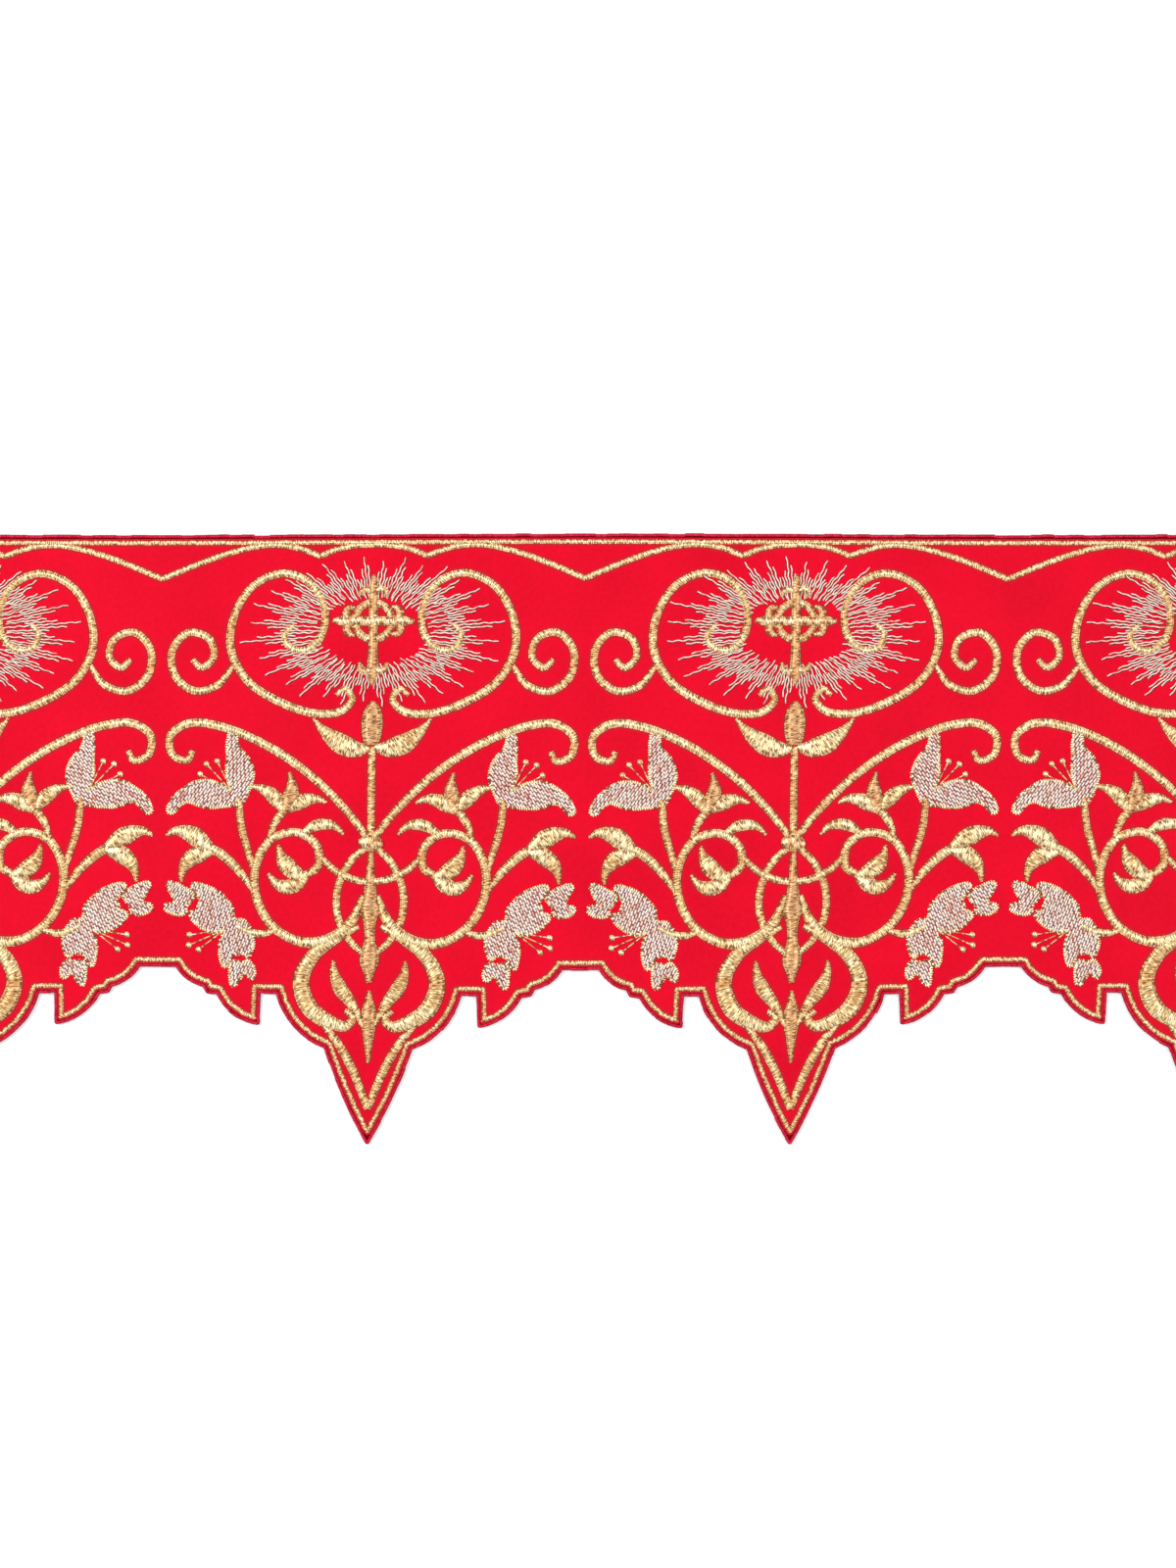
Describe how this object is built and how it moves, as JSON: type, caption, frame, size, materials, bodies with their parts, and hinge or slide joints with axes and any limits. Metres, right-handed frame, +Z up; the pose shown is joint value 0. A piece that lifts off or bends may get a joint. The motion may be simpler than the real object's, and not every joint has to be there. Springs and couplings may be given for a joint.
{
  "type": "lace altar cloth trim",
  "caption": "Flat cut length of red satin altar-cloth trim with a straight heading, a scalloped and pointed hem with rolled edges, and gold and silver embroidery.",
  "frame": {"origin": "on the surface under the middle of the outline's box", "axes": "+X along the length, +Y towards the straight heading, +Z up out of the embroidered face"},
  "size_m": [0.5538, 0.2004, 0.0024],
  "materials": {
    "red_satin": "close red satin, faint sheen",
    "edge_thread": "red rayon overcast stitch",
    "gold_thread": "metallic gold satin stitch",
    "silver_thread": "pale silver fill stitch"
  },
  "bodies": {
    "root": {"ground_cloth": "red_satin", "heading_roll": "edge_thread", "hem_roll": "edge_thread"}
  },
  "joints": []
}
